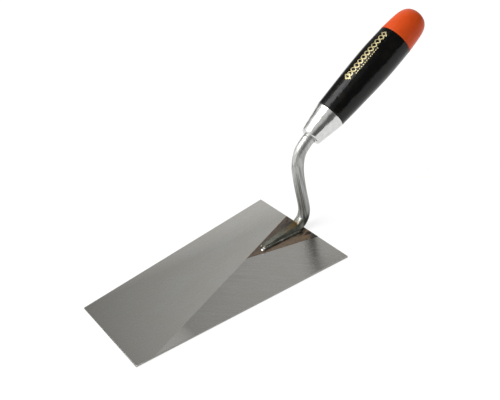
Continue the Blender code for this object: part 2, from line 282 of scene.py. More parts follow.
def smooth_through(stations, steps):
    """Points of a Catmull-Rom curve through the stations, each a tuple of numbers."""
    ends = [stations[0], *stations, stations[-1]]
    points = []
    for before, start, end, after in zip(ends, ends[1:], ends[2:], ends[3:]):
        for step in range(steps):
            t = step / steps
            weights = (
                (-t**3 + 2 * t**2 - t) / 2,
                (3 * t**3 - 5 * t**2 + 2) / 2,
                (-3 * t**3 + 4 * t**2 + t) / 2,
                (t**3 - t**2) / 2,
            )
            corners = zip(before, start, end, after)
            points.append(tuple(sum(w * c for w, c in zip(weights, four)) for four in corners))
    return points + [tuple(stations[-1])]


def arc(centre, radius, start, end, steps):
    """Points of an arc in a profile, from one angle in degrees to another."""
    points = []
    for step in range(steps + 1):
        angle = math.radians(mix(start, end, step / steps))
        points.append((centre[0] + radius * math.cos(angle), centre[1] + radius * math.sin(angle)))
    return points


def join_loops(shape, loops):
    """Faces between each loop of vertices and the next, all with equally many vertices."""
    for low, high in zip(loops, loops[1:]):
        for i, vertex in enumerate(low):
            shape.faces.new((low[i - 1], vertex, high[i], high[i - 1]))


def loft(rings, shape=None):
    """A closed skin over rings that hold equally many points."""
    shape = shape or bmesh.new()
    loops = [[shape.verts.new(point) for point in ring] for ring in rings]
    join_loops(shape, loops)
    shape.faces.new(loops[0])
    shape.faces.new(loops[-1])
    return shape


def turned(profile):
    """A solid of revolution about X. The profile's points are (distance along X, radius).

    A profile that starts off the axis is closed into a ring, such as a shell with two open ends.
    """
    shape = bmesh.new()
    points = [shape.verts.new((along, 0, radius)) for along, radius in profile]
    edges = [shape.edges.new(pair) for pair in zip(points, points[1:])]
    if profile[0][1] > 0:
        edges.append(shape.edges.new((points[-1], points[0])))
    bmesh.ops.spin(
        shape,
        geom=points + edges,
        axis=(1, 0, 0),
        cent=(0, 0, 0),
        angle=math.tau,
        steps=TURNED_SIDES,
        use_merge=True,
    )
    bmesh.ops.remove_doubles(shape, verts=shape.verts, dist=1e-7)
    return shape


def add_piece(name, shape, materials, nodes=(), on_handle=False, sharp=40):
    """Turns a bmesh into a piece that rides on the root body and stands for CAD nodes."""
    bmesh.ops.recalc_face_normals(shape, faces=shape.faces)
    mesh = bpy.data.meshes.new(name)
    shape.to_mesh(mesh)
    shape.free()
    if on_handle:
        mesh.transform(Matrix.Translation(RIM_PLACE) @ Matrix.Rotation(-HANDLE_PITCH, 4, "Y"))
    mesh.shade_smooth()
    mesh.set_sharp_from_angle(angle=math.radians(sharp))
    for material in materials:
        mesh.materials.append(material)
    piece = bpy.data.objects.new(name, mesh)
    bpy.context.scene.collection.objects.link(piece)
    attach(piece, "root")
    if nodes:
        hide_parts(*nodes)
    return piece


# --- Materials -----------------------------------------------------------------------------


class Finish:
    """A Principled material whose nodes are added one call at a time."""

    def __init__(self, name, on_handle=False, **sockets):
        self.material = bpy.data.materials.new(name)
        self.material.use_nodes = True
        self.tree = self.material.node_tree
        self.shader = self.tree.nodes["Principled BSDF"]
        for socket, value in sockets.items():
            self.shader.inputs[socket.replace("_", " ")].default_value = value
        self.coords = self.tree.nodes.new("ShaderNodeTexCoord").outputs["Object"]
        if on_handle:
            # Undoes the handle's place and pitch, so that X runs along the handle.
            inputs = {"Vector": self.coords, "Location": RIM_PLACE, "Rotation": (0, -HANDLE_PITCH, 0)}
            self.coords = self.node("Mapping", inputs, vector_type="TEXTURE").outputs[0]

    def node(self, kind, inputs, **settings):
        """Adds a node. An input is a value or another node's output."""
        made = self.tree.nodes.new("ShaderNode" + kind)
        for key, value in settings.items():
            setattr(made, key, value)
        for key, value in inputs.items():
            if isinstance(value, bpy.types.NodeSocket):
                self.tree.links.new(value, made.inputs[key])
            else:
                made.inputs[key].default_value = value
        return made

    def place(self, scale, turn=0.0):
        """Coordinates turned about Z by an angle in degrees, then stretched."""
        rotated = self.node("Mapping", {"Vector": self.coords, "Rotation": (0, 0, math.radians(turn))})
        return self.node("Mapping", {"Vector": rotated.outputs[0], "Scale": scale}).outputs[0]

    def noise(self, scale, detail=3.0, turn=0.0, roughness=0.5, distortion=0.0):
        """A noise pattern. The scale is about the number of features per metre along each axis."""
        inputs = {
            "Vector": self.place(scale, turn),
            "Scale": 1.0,
            "Detail": detail,
            "Roughness": roughness,
            "Distortion": distortion,
        }
        return self.node("TexNoise", inputs).outputs["Fac"]

    def spread(self, value, low, high, to_low, to_high):
        """Maps a value smoothly from one range to another."""
        inputs = {0: value, 1: low, 2: high, 3: to_low, 4: to_high}
        return self.node("MapRange", inputs, interpolation_type="SMOOTHSTEP").outputs[0]

    def vary(self, pattern, low, high):
        """Spreads a noise pattern, whose values crowd round 0.5, over a range."""
        return self.spread(pattern, 0.3, 0.7, low, high)

    def maths(self, operation, *values):
        """Chains values with one operation, such as ADD or MULTIPLY."""
        result = values[0]
        for value in values[1:]:
            result = self.node("Math", {0: result, 1: value}, operation=operation).outputs[0]
        return result

    def ramp(self, value, *stops):
        """A colour ramp. Each stop is (position, (red, green, blue))."""
        made = self.node("ValToRGB", {"Fac": value})
        elements = made.color_ramp.elements
        while len(elements) < len(stops):
            elements.new(0.5)
        for element, (position, colour) in zip(elements, stops):
            element.position = position
            element.color = (*colour, 1)
        return made.outputs["Color"]

    def blend(self, share, first, second):
        """A mix of two colours. Sockets 6, 7 and output 2 are the Mix node's colour sockets."""
        made = self.tree.nodes.new("ShaderNodeMix")
        made.data_type = "RGBA"
        for key, value in ((0, share), (6, first), (7, second)):
            if isinstance(value, bpy.types.NodeSocket):
                self.tree.links.new(value, made.inputs[key])
            else:
                made.inputs[key].default_value = value if key == 0 else (*value, 1)
        return made.outputs[2]

    def axis(self, name):
        return self.node("SeparateXYZ", {0: self.coords}).outputs[name]

    def fade(self, axis, start, full, amount=1.0):
        """Grows along an axis, from nothing at the start to the amount where it is full."""
        return self.spread(self.axis(axis), start, full, 0, amount)

    def bump(self, *layers):
        """Bumps on top of each other. Each layer is (height, strength, distance in metres)."""
        normal = None
        for height, strength, distance in layers:
            inputs = {"Height": height, "Strength": strength, "Distance": distance}
            if normal:
                inputs["Normal"] = normal
            normal = self.node("Bump", inputs).outputs[0]
        self.tree.links.new(normal, self.shader.inputs["Normal"])

    def connect(self, **sockets):
        """Links outputs to the shader's sockets and hands back the finished material."""
        for socket, output in sockets.items():
            self.tree.links.new(output, self.shader.inputs[socket.replace("_", " ")])
        return self.material


def shade(colour, factor):
    return tuple(part * factor for part in colour)


def ground_steel(name, turn, colour, line_depth, hollow_rise):
    """Steel ground in one direction, which is turned about Z from +X by an angle in degrees."""
    finish = Finish(name, Metallic=1.0, Anisotropic=0.45)
    lines = finish.noise((90, 2600, 200), detail=4, turn=-turn, roughness=0.65)
    long_lines = finish.noise((22, 900, 100), turn=-turn, roughness=0.55)
    grain = finish.noise((800, 2600, 900), turn=-turn, roughness=0.6)
    clouds = finish.noise((28, 45, 30), detail=4, turn=-turn, roughness=0.6)
    dark = shade(colour, 1 - 0.5 * line_depth)
    light = shade(colour, 1 + 0.4 * line_depth)
    tint = finish.ramp(long_lines, (0.36, dark), (0.50, colour), (0.66, light))
    tint = finish.blend(finish.spread(grain, 0.52, 0.68, 0, 0.55), tint, shade(colour, 1.14))
    tint = finish.blend(finish.spread(grain, 0.48, 0.32, 0, 0.60), tint, shade(colour, 0.80))
    warm = (colour[0] * 1.02, colour[1] * 0.99, colour[2] * 0.95)
    tint = finish.blend(finish.spread(clouds, 0.35, 0.65, 0, 0.8), tint, warm)
    shine = finish.vary(clouds, GROUND_ROUGHNESS - 0.02, GROUND_ROUGHNESS + 0.02)
    fine = finish.vary(lines, -0.02, 0.02)
    hollow = finish.fade("X", *HOLLOW_X)
    finish.bump((hollow, 1.0, hollow_rise), (lines, 0.5 * line_depth, 0.00003))
    tangent = finish.node("Tangent", {}, direction_type="UV_MAP", uv_map="across_marks")
    return finish.connect(
        Base_Color=tint,
        Roughness=finish.maths("ADD", shine, fine),
        Tangent=tangent.outputs[0],
    )


def mill_scale():
    """The blade's unground skin: brown oxide with patches of heat colour by the back edge."""
    finish = Finish("mill_scale", Metallic=0.25, Specular_IOR_Level=0.30)
    grain = finish.noise((420, 900, 500), detail=5, turn=20, roughness=0.65)
    patches = finish.noise((95, 180, 100), detail=4, turn=-15, roughness=0.6, distortion=0.6)
    specks = finish.noise((1500, 1500, 900))
    near = finish.fade("Y", *SCALE_NEAR_Y)
    back = finish.fade("X", *SCALE_HEAT_X)
    far_tint = finish.ramp(grain, (0.30, (0.040, 0.029, 0.021)), (0.68, (0.105, 0.079, 0.058)))
    near_tint = finish.ramp(grain, (0.28, (0.072, 0.050, 0.033)), (0.70, (0.180, 0.132, 0.090)))
    tint = finish.blend(near, far_tint, near_tint)
    straw = finish.maths("MULTIPLY", finish.spread(patches, 0.52, 0.66, 0, 0.8), back, near)
    tint = finish.blend(straw, tint, STRAW_OXIDE)
    burnt = finish.maths("MULTIPLY", finish.spread(patches, 0.53, 0.42, 0, 1), back)
    tint = finish.blend(burnt, tint, BURNT_OXIDE)
    # Darker towards the seat's near back corner.
    towards_corner = finish.maths("SUBTRACT", finish.axis("X"), finish.axis("Y"))
    corner = finish.spread(towards_corner, *SCALE_CORNER, 0, 1)
    tint = finish.blend(corner, tint, NEAR_BACK_CORNER_DARK)
    finish.bump((grain, 0.35, 0.00008), (specks, 0.2, 0.00003))
    return finish.connect(Base_Color=tint, Roughness=finish.vary(patches, 0.42, 0.58))


def bare_steel(finish, clouds, streaks, seams):
    """The neck's colour: drawn steel with streaks, duller and with dark seams lower down."""
    tint = finish.ramp(clouds, (0.30, (0.42, 0.422, 0.41)), (0.72, (0.56, 0.562, 0.545)))
    straight = finish.spread(finish.axis("Z"), *STREAK_HEIGHTS, 0.45, 1)
    streak_share = finish.maths("MULTIPLY", finish.spread(streaks, 0.46, 0.62, 0, 0.72), straight)
    tint = finish.blend(streak_share, tint, STREAK_GREY)
    tint = finish.blend(finish.fade("Z", *DULL_HEIGHTS, 0.80), tint, DULL_STEEL)
    lower = finish.fade("Z", *SEAM_HEIGHTS, 0.80)
    seam_share = finish.maths("MULTIPLY", finish.spread(seams, 0.50, 0.38, 0, 1), lower)
    return finish.blend(seam_share, tint, SEAM_GREY)


def heated_steel(finish, clouds, upward):
    """The foot's colour: greenish sides, and gold where it faces upward near the bend."""
    sides = finish.ramp(clouds, (0.30, (0.115, 0.120, 0.102)), (0.70, (0.225, 0.230, 0.195)))
    gold = finish.ramp(clouds, (0.32, (0.058, 0.042, 0.023)), (0.66, (0.150, 0.104, 0.044)))
    top = finish.spread(upward, 0.70, 0.93, 0, 1)
    along = finish.spread(finish.axis("X"), *FOOT_GOLD_X, 0.10, 1)
    return finish.blend(finish.maths("MULTIPLY", top, along), sides, gold)


def painted_shadow_under_bend(finish, upward):
    """Painted shadow under the bend, how strong it is: only underneath, low down and behind the blade's
    back edge.
    """
    under = finish.spread(upward, 0.50, 0.10, 0, 1)
    low = finish.fade("Z", *PAINTED_SHADOW_HEIGHTS, 0.96)
    return finish.maths("MULTIPLY", under, low, finish.fade("X", *PAINTED_SHADOW_X))


def forged_steel():
    """The tang: bare on the neck, with heat colours on the foot and a painted shadow under the bend."""
    finish = Finish("forged_steel", Metallic=0.82, Specular_IOR_Level=0.3)
    streaks = finish.noise((900, 900, 26), detail=4, roughness=0.6)
    clouds = finish.noise((160, 160, 40), detail=4, roughness=0.6)
    seams = finish.noise((620, 620, 16), detail=2)
    normal = finish.node("NewGeometry", {}).outputs["Normal"]
    upward = finish.node("SeparateXYZ", {0: normal}).outputs["Z"]
    bare = bare_steel(finish, clouds, streaks, seams)
    heated = heated_steel(finish, clouds, upward)
    tint = finish.blend(finish.fade("Z", *FOOT_HEIGHTS), bare, heated)
    # Painted shadow where the bend meets the blade's back edge.
    tint = finish.blend(painted_shadow_under_bend(finish, upward), tint, PAINTED_SHADOW_BLACK)
    uneven = finish.vary(clouds, -0.05, 0.05)
    sheen = finish.spread(finish.axis("Z"), *SHEEN_HEIGHTS, 0.46, 0.35)
    gloss = finish.fade("Z", *GLOSS_HEIGHTS, -0.20)
    finish.bump((streaks, 0.08, 0.00004), (clouds, 0.12, 0.0002), (seams, 0.20, 0.0003))
    return finish.connect(Base_Color=tint, Roughness=finish.maths("ADD", uneven, sheen, gloss))


def weld_metal():
    """Greenish grey weld metal with a fine crust."""
    finish = Finish("weld_metal", Metallic=1.0)
    crust = finish.noise((700, 700, 700), detail=5, roughness=0.6)
    clouds = finish.noise((240, 300, 300))
    tint = finish.ramp(
        clouds,
        (0.28, (0.085, 0.088, 0.075)),
        (0.50, (0.165, 0.169, 0.146)),
        (0.72, (0.280, 0.280, 0.242)),
    )
    finish.bump((crust, 0.25, 0.0001))
    return finish.connect(Base_Color=tint, Roughness=finish.vary(crust, 0.40, 0.52))


def bright_weld():
    """The last drop of weld metal, which stayed bright, with a straw colour on one side."""
    finish = Finish("bright_weld", Metallic=1.0)
    crust = finish.noise((500, 500, 500), detail=4, roughness=0.6)
    straw = finish.ramp(crust, (0.35, (0.46, 0.30, 0.12)), (0.65, (0.20, 0.19, 0.17)))
    tint = finish.blend(finish.fade("X", *TIP_STRAW_X), BRIGHT_METAL, straw)
    finish.bump((crust, 0.2, 0.0001))
    return finish.connect(Base_Color=tint, Roughness=finish.vary(crust, 0.10, 0.24))


def polished_steel():
    """Bright plated steel with shallow dents and a faint haze from polishing."""
    finish = Finish("polished_steel", on_handle=True, Metallic=1.0)
    dents = finish.noise((80, 100, 100), detail=1, roughness=0.4, distortion=0.4)
    haze = finish.noise((260, 260, 260), detail=4, roughness=0.6)
    tint = finish.ramp(haze, (0.32, (0.60, 0.60, 0.59)), (0.65, (0.68, 0.68, 0.67)))
    finish.bump((dents, 0.42, 0.0018), (haze, 0.02, 0.0001))
    return finish.connect(Base_Color=tint, Roughness=finish.spread(dents, 0.35, 0.65, 0.16, 0.22))


def black_lacquer():
    """Gloss lacquer over turned wood, whose grain and brush marks show in the reflections."""
    finish = Finish("black_lacquer", on_handle=True, Specular_IOR_Level=0.27)
    grain = finish.noise((130, 700, 700), detail=4, roughness=0.65)
    waves = finish.noise((110, 210, 210), roughness=0.6)
    tint = finish.ramp(waves, (0.46, (0.0016, 0.0018, 0.0017)), (0.70, (0.0060, 0.0048, 0.0030)))
    finish.bump((waves, 0.35, 0.0006), (grain, 0.55, 0.00020))
    return finish.connect(Base_Color=tint, Roughness=finish.spread(grain, 0.35, 0.65, 0.06, 0.20))


def orange_paint():
    """Thick satin paint with a slight orange peel."""
    finish = Finish("orange_paint", on_handle=True, Specular_IOR_Level=0.16)
    peel = finish.noise((900, 900, 900))
    waves = finish.noise((120, 120, 120))
    tint = finish.ramp(waves, (0.35, (0.60, 0.064, 0.0090)), (0.65, (0.66, 0.077, 0.0110)))
    finish.bump((waves, 0.15, 0.0004), (peel, 0.12, 0.00006))
    return finish.connect(Base_Color=tint, Roughness=finish.vary(waves, 0.30, 0.38))


def gold_foil():
    """Stamped foil, rubbed thin in spots."""
    finish = Finish("gold_foil", on_handle=True, Metallic=1.0)
    rub = finish.noise((900, 1500, 1500), detail=4, roughness=0.65)
    tint = finish.ramp(rub, (0.30, (0.20, 0.165, 0.075)), (0.56, (0.62, 0.54, 0.30)))
    finish.bump((rub, 0.3, 0.00005))
    return finish.connect(Base_Color=tint, Roughness=finish.vary(rub, 0.50, 0.38))


# --- Blade ---------------------------------------------------------------------------------


def plane_through(first, second, third):
    """A function that gives the plane's point above any x and y."""
    first = Vector(first)
    normal = (Vector(second) - first).cross(Vector(third) - first)

    def point_at(x, y):
        z = first.z - (normal.x * (x - first.x) + normal.y * (y - first.y)) / normal.z
        return Vector((x, y, z))

    return point_at


def half_width_at(x):
    """Half the blade's width between its straight long edges."""
    share = (BACK_EDGE_X - x) / BLADE_LENGTH
    return mix(BLADE_BACK_WIDTH, BLADE_FRONT_WIDTH, share) / 2


def seat_apex():
    """The x and y of the seat's front point, which lies on the crease."""
    share = SEAT_LENGTH / (BACK_EDGE_X - CREASE_END_X)
    return BACK_EDGE_X - SEAT_LENGTH, mix(CREASE_START_Y, -half_width_at(CREASE_END_X), share)


def blade_corners():
    """The blade's corners by name. Both ground faces are planes through the crease."""
    back = BLADE_BACK_WIDTH / 2
    front = BLADE_FRONT_WIDTH / 2
    crease_start = (BACK_EDGE_X, CREASE_START_Y, CREASE_START_THICKNESS)
    crease_end = (CREASE_END_X, -half_width_at(CREASE_END_X), CREASE_END_THICKNESS)
    far_front = (FRONT_EDGE_X, front, FAR_FRONT_THICKNESS)
    near_back = (BACK_EDGE_X, -back, NEAR_BACK_THICKNESS)
    far_face = plane_through(crease_start, crease_end, far_front)
    near_face = plane_through(crease_start, crease_end, near_back)
    return {
        "low_far_back": (BACK_EDGE_X, back, 0),
        "low_far_front": (FRONT_EDGE_X, front, 0),
        "low_near_front": (FRONT_EDGE_X, -front, 0),
        "low_near_back": (BACK_EDGE_X, -back, 0),
        "far_back": far_face(BACK_EDGE_X, back),
        "far_front": far_front,
        "near_front": far_face(FRONT_EDGE_X, -front),
        "near_back": near_back,
        "crease_end": crease_end,
        "crease_start": crease_start,
        "apex": far_face(*seat_apex()),
        "seat_near": near_face(BACK_EDGE_X, SEAT_NEAR_Y),
    }


def scale_dip(point):
    """How far the mill scale lies below the seat's top."""
    bumps = (noise.noise(point * SCALE_COARSE_NOISE) + 0.5 * noise.noise(point * SCALE_FINE_NOISE)) / 1.5
    return (bumps - 1) * SCALE_DEPTH


def seat_grid(shape):
    """Rows of vertices over the seat, from the back edge to the apex, with a rough surface."""
    far = Vector((BACK_EDGE_X, CREASE_START_Y - SEAT_CHAMFER, SEAT_TOP))
    near = Vector((BACK_EDGE_X, SEAT_NEAR_Y + SEAT_CHAMFER, SEAT_TOP))
    apex_x, apex_y = seat_apex()
    apex = Vector((apex_x + SEAT_APEX_CHAMFER, apex_y, SEAT_TOP))
    rows = []
    for i in range(SEAT_ROWS + 1):
        across = SEAT_ROWS - i
        row = []
        for j in range(across + 1):
            side = mix(far, near, j / across if across else 0.5)
            point = mix(side, apex, i / SEAT_ROWS)
            inside = min(i, j, across - j, 2) / 2
            point.z += scale_dip(point) * inside
            row.append(shape.verts.new(point))
        rows.append(row)
    return rows


# The blade's material indices.
FAR_GROUND, NEAR_GROUND, SCALE = range(3)


def add_blade_faces(shape):
    """The blade's skin: large plain faces, and small ones over the rough seat."""
    corner = {name: shape.verts.new(place) for name, place in blade_corners().items()}
    rows = seat_grid(shape)

    def face(material, *vertices):
        made = shape.faces.new([corner[v] if isinstance(v, str) else v for v in vertices])
        made.material_index = material

    face(NEAR_GROUND, "low_far_back", "low_far_front", "low_near_front", "low_near_back")
    face(FAR_GROUND, "far_back", "crease_start", "apex", "crease_end", "near_front", "far_front")
    face(NEAR_GROUND, "seat_near", "near_back", "crease_end", "apex")
    face(FAR_GROUND, "far_back", "far_front", "low_far_front", "low_far_back")
    face(FAR_GROUND, "far_front", "near_front", "low_near_front", "low_far_front")
    face(NEAR_GROUND, "near_front", "crease_end", "near_back", "low_near_back", "low_near_front")
    far_border = [row[0] for row in rows]
    near_border = [row[-1] for row in reversed(rows)]
    back_border = list(reversed(rows[0]))
    face(SCALE, "crease_start", *far_border, "apex")
    face(SCALE, "apex", *near_border, "seat_near")
    low_back = ("low_far_back", "low_near_back", "near_back", "seat_near")
    face(SCALE, *low_back, *back_border, "crease_start", "far_back")
    for low, high in zip(rows, rows[1:]):
        for j, vertex in enumerate(high):
            face(SCALE, low[j], low[j + 1], vertex)
        for j in range(len(high) - 1):
            face(SCALE, low[j + 1], high[j + 1], high[j])


def lay_marks(shape, across_marks):
    """Writes a UV map whose U runs across the grinding marks, for the brushed highlight."""
    for face in shape.faces:
        turn = FAR_MARKS if face.material_index == FAR_GROUND else NEAR_MARKS
        angle = math.radians(turn + 90)
        across = Vector((math.cos(angle), math.sin(angle), 0))
        along = Vector((-across.y, across.x, 0))
        for loop in face.loops:
            loop[across_marks].uv = (loop.vert.co.dot(across), loop.vert.co.dot(along))


def build_blade(far_ground, near_ground, scale):
    shape = bmesh.new()
    across_marks = shape.loops.layers.uv.new("across_marks")
    add_blade_faces(shape)
    bmesh.ops.recalc_face_normals(shape, faces=shape.faces)
    edges = [edge for edge in shape.edges if edge.calc_face_angle(0) > BEVEL_OVER]
    bmesh.ops.bevel(shape, geom=edges, offset=EDGE_BEVEL, segments=2, profile=0.5, affect="EDGES")
    lay_marks(shape, across_marks)
    materials = (far_ground, near_ground, scale)
    add_piece("blade_ground", shape, materials, ["blade"], sharp=20)


# --- Tang ----------------------------------------------------------------------------------


def superellipse(angle, exponent):
    """A point on the unit superellipse: 2 is a circle, and more is squarer."""
    across = math.cos(angle)
    up = math.sin(angle)
    power = 2 / exponent
    return math.copysign(abs(across) ** power, across), math.copysign(abs(up) ** power, up)


def station(x, z, half_thickness, base_half_width, top_half_width, squareness=2.0):
    """A cross-section of the tang. The part ahead of the back edge points at the seat's apex."""
    y = seat_apex()[1] * max(BACK_EDGE_X - x, 0) / SEAT_LENGTH
    return (x, y, z, half_thickness, base_half_width, top_half_width, squareness)


def foot_stations():
    """The foot's sections, which stand on the seat."""
    stations = []
    for ahead, thickness, *half_widths in FOOT_SECTIONS:
        half = thickness / 2
        place = (BACK_EDGE_X - ahead, FOOT_BASE + half)
        stations.append(station(*place, half, *half_widths, FOOT_SQUARENESS))
    return stations


def on_handle_axis(along):
    """The x and z of a place on the handle's axis."""
    place = RIM_PLACE + along * Vector((math.cos(HANDLE_PITCH), 0, math.sin(HANDLE_PITCH)))
    return place.x, place.z


def spike_station(along):
    """A round section on the handle's axis, which tapers from the ferrule's mouth to the tip."""
    share = max(along + FERRULE_LENGTH, 0) / SPIKE_LENGTH
    radius = mix(NECK_RADIUS_HIGH, SPIKE_TIP_RADIUS, share)
    return station(*on_handle_axis(along), radius, radius, radius)


def tang_stations():
    """All sections of the tang, from the foot's tip to the spike's tip."""
    bend = [station(BACK_EDGE_X + behind, *section) for behind, *section in BEND_SECTIONS]
    neck = [
        station(BACK_EDGE_X + behind, height, radius, radius, radius)
        for behind, height, radius in NECK_SECTIONS
    ]
    spike = [spike_station(share * FERRULE_LENGTH) for share in SPIKE_SECTIONS]
    return [*foot_stations(), *bend, *neck, *spike, spike_station(SPIKE_LENGTH - FERRULE_LENGTH)]


def tang_ring(points, i):
    """The tang's cross-section at one point, square to the curve through its neighbours."""
    x, y, z, half_thickness, base, top, squareness = points[i]
    before = points[max(i - 1, 0)]
    after = points[min(i + 1, len(points) - 1)]
    forward = Vector((after[0] - before[0], 0, after[2] - before[2])).normalized()
    normal = Vector((-forward.z, 0, forward.x))
    rise = smooth_step(*FLATS_START, z)
    depth = FLAT_DEPTH * rise * (1 - smooth_step(*FLATS_FADE, z))
    ring = []
    for side in range(TANG_SIDES):
        angle = math.tau * (side + 0.5) / TANG_SIDES
        across, up = superellipse(angle, squareness)
        half_width = mix(base, top, (up + 1) / 2)
        flat = 1 - depth * math.cos(FLATS * angle) / 2
        offset = normal * up * half_thickness + Vector((0, across * half_width, 0))
        point = Vector((x, y, z)) + offset * flat
        dent = noise.noise(point * DENT_NOISE_SCALE) * DENT_DEPTH * rise
        ring.append(point + offset.normalized() * dent)
    return ring


def build_tang(steel):
    points = smooth_through(tang_stations(), TANG_STEPS)
    rings = [tang_ring(points, i) for i in range(len(points))]
    add_piece("tang_forged", loft(rings), (steel,), ["tang"])


# --- Welds ---------------------------------------------------------------------------------


def fuse(name, metal, node, drops):
    """Balls of weld metal, each (centre, radius, flatness), fused into one skin."""
    shape = bmesh.new()
    for centre, radius, flatness in drops:
        made = bmesh.ops.create_icosphere(shape, subdivisions=3, radius=radius)["verts"]
        bmesh.ops.scale(shape, vec=(1, 1, flatness), verts=made)
        bmesh.ops.translate(shape, vec=centre, verts=made)
    piece = add_piece(name, shape, (metal,), [node])
    fusing = piece.modifiers.new("fuse", "REMESH")
    fusing.mode = "VOXEL"
    fusing.voxel_size = BEAD_VOXEL
    fusing.use_smooth_shade = True
    smoothing = piece.modifiers.new("smooth", "SMOOTH")
    smoothing.iterations = 2


def build_side_weld(name, node, side, metal):
    """A fillet of overlapping drops along the foot, on the side whose y has the given sign."""
    along_foot = smooth_through(foot_stations(), BEAD_PATH_STEPS)
    drops = []
    travelled = BEAD_STEP
    for low, high in zip(along_foot, along_foot[1:]):
        travelled += math.dist(low[:2], high[:2])
        if travelled < BEAD_STEP:
            continue
        travelled = 0
        x, y, base = high[0], high[1], high[4]
        # Each side reads its own row of the noise.
        uneven = noise.noise(Vector((x * BEAD_NOISE_SCALE, side * 5, 0)))
        radius = BEAD_RADIUS * (0.85 + 0.10 * uneven)
        aside = side * (base + 0.1 * radius + BEAD_WOBBLE * uneven)
        drops.append((Vector((x, y + aside, FOOT_BASE + BEAD_LIFT)), radius, BEAD_FLATNESS))
    fuse(name, metal, node, drops)


def build_tip_weld(metal):
    """The last drops in front of the foot and on its tip."""
    low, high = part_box("weld_tip")
    middle = (low + high) / 2
    drops = []
    for (along, across, up), radius, flatness in TIP_DROPS:
        centre = Vector((middle.x + along, middle.y + across, FOOT_BASE + up))
        drops.append((centre, radius, flatness))
    fuse("weld_drop", metal, "weld_tip", drops)


# --- Handle --------------------------------------------------------------------------------


def build_ferrule(steel):
    """A polished cone whose front edge is rolled in to the hole for the tang."""
    mouth = -FERRULE_LENGTH
    edge = FERRULE_EDGE_RADIUS
    inner_edge = edge - FERRULE_WALL
    cone = math.degrees(math.atan2(FERRULE_RIM_RADIUS - FERRULE_MOUTH_RADIUS, FERRULE_LENGTH))
    corner = (mouth + edge, FERRULE_MOUTH_RADIUS - edge)
    roll = FERRULE_RIM_ROLL
    outside = [(mouth, FERRULE_HOLE_RADIUS), *arc(corner, edge, 180, 90 + cone, 16)]
    outside += arc((-roll, FERRULE_RIM_RADIUS - roll), roll, 90 + cone, 0, 8)
    inside = [(0, FERRULE_RIM_RADIUS - FERRULE_WALL)]
    inside += arc(corner, inner_edge, 90 + cone, 180, 6)
    inside += [(mouth + FERRULE_WALL, FERRULE_HOLE_RADIUS)]
    shape = turned(outside + inside)
    add_piece("ferrule_polished", shape, (steel,), ["ferrule"], on_handle=True)


def grip_outline():
    """The grip's outline: a slight waist near the ferrule and a belly near the cap."""
    stations = (
        (SEAM, GRIP_START_RADIUS),
        (GRIP_WAIST_AT * GRIP_LENGTH, GRIP_WAIST_RADIUS),
        (GRIP_BELLY_AT * GRIP_LENGTH, GRIP_BELLY_RADIUS),
        (GRIP_LENGTH - SEAM, GRIP_END_RADIUS),
    )
    return smooth_through(stations, GRIP_STEPS)


def grip_radius(along):
    """The grip's radius at a place along its axis."""
    outline = grip_outline()
    return float(np.interp(along, [p[0] for p in outline], [p[1] for p in outline]))


def build_grip(lacquer):
    """Turned wood with a nose under the ferrule and a tenon in the end cap."""
    clearance = FERRULE_WALL + SEAM
    nose_start = clearance + FERRULE_EDGE_RADIUS - FERRULE_LENGTH
    nose_radius = FERRULE_RIM_RADIUS - clearance - SEAM
    edge = GRIP_EDGE_RADIUS
    start_edge = arc((START_GAP + edge, grip_radius(edge) - edge), edge, 180, 92, 8)
    profile = [
        (nose_start, 0),
        (nose_start, FERRULE_MOUTH_RADIUS - clearance),
        (-SEAM, nose_radius),
        (START_GAP, nose_radius),
        *start_edge,
        *[point for point in grip_outline() if point[0] > START_GAP + edge],
        (GRIP_LENGTH - SEAM, TENON_RADIUS),
        (GRIP_LENGTH + TENON_LENGTH, TENON_RADIUS),
        (GRIP_LENGTH + TENON_LENGTH, 0),
    ]
    shape = turned(profile)
    add_piece("grip_lacquered", shape, (lacquer,), ["grip"], on_handle=True)


def cap_radius(share):
    """The radius at a share of the cap's length: a slight taper that ends in a blunt dome."""
    taper = GRIP_END_RADIUS - CAP_TAPER * CAP_LENGTH * share
    return taper * (1 - share**CAP_FLATNESS) ** CAP_ROUNDNESS


def build_end_cap(paint):
    """A domed cap with a socket for the grip's tenon."""
    start = GRIP_LENGTH + SEAM
    socket_end = GRIP_LENGTH + TENON_LENGTH + SEAM
    socket_radius = TENON_RADIUS + SEAM
    edge = CAP_EDGE_RADIUS
    profile = [(socket_end, 0), (socket_end, socket_radius), (start, socket_radius)]
    profile += arc((start + edge, GRIP_END_RADIUS - edge), edge, 180, 95, 6)
    for ring in range(2, CAP_RINGS + 1):
        share = math.sin(math.pi / 2 * ring / CAP_RINGS)
        profile.append((start + (CAP_LENGTH - SEAM) * share, cap_radius(share)))
    shape = turned(profile)
    add_piece("end_cap_painted", shape, (paint,), ["end_cap"], on_handle=True)


# --- Ornament ------------------------------------------------------------------------------


def on_grip(along, round_grip, lift):
    """A point on the grip, from a length along its axis and a length round it."""
    radius = grip_radius(along) + lift
    angle = ORNAMENT_ANGLE + round_grip / GRIP_WAIST_RADIUS
    return Vector((along, -radius * math.sin(angle), radius * math.cos(angle)))


def slanted(centre, half_sizes, exponent, scale=1.0):
    """A slanted superellipse: exponent 1 is a lozenge, 2 an oval, and more is squarer."""
    half_length, half_height = half_sizes
    points = []
    for side in range(FOIL_SIDES):
        across, up = superellipse(math.tau * side / FOIL_SIDES, exponent)
        height = half_height * scale * up
        along = half_length * scale * across - ORNAMENT_SLANT * height
        points.append((centre[0] + along, centre[1] + height))
    return points


def add_foil(shape, outer, inner):
    """A flat ring of foil between two outlines with equally many points, half sunk in the grip."""
    top = FOIL_LIFT
    loops = []
    for outline, lift in ((outer, top), (inner, top), (inner, -top), (outer, -top)):
        loops.append([shape.verts.new(on_grip(along, height, lift)) for along, height in outline])
    join_loops(shape, [*loops, loops[0]])


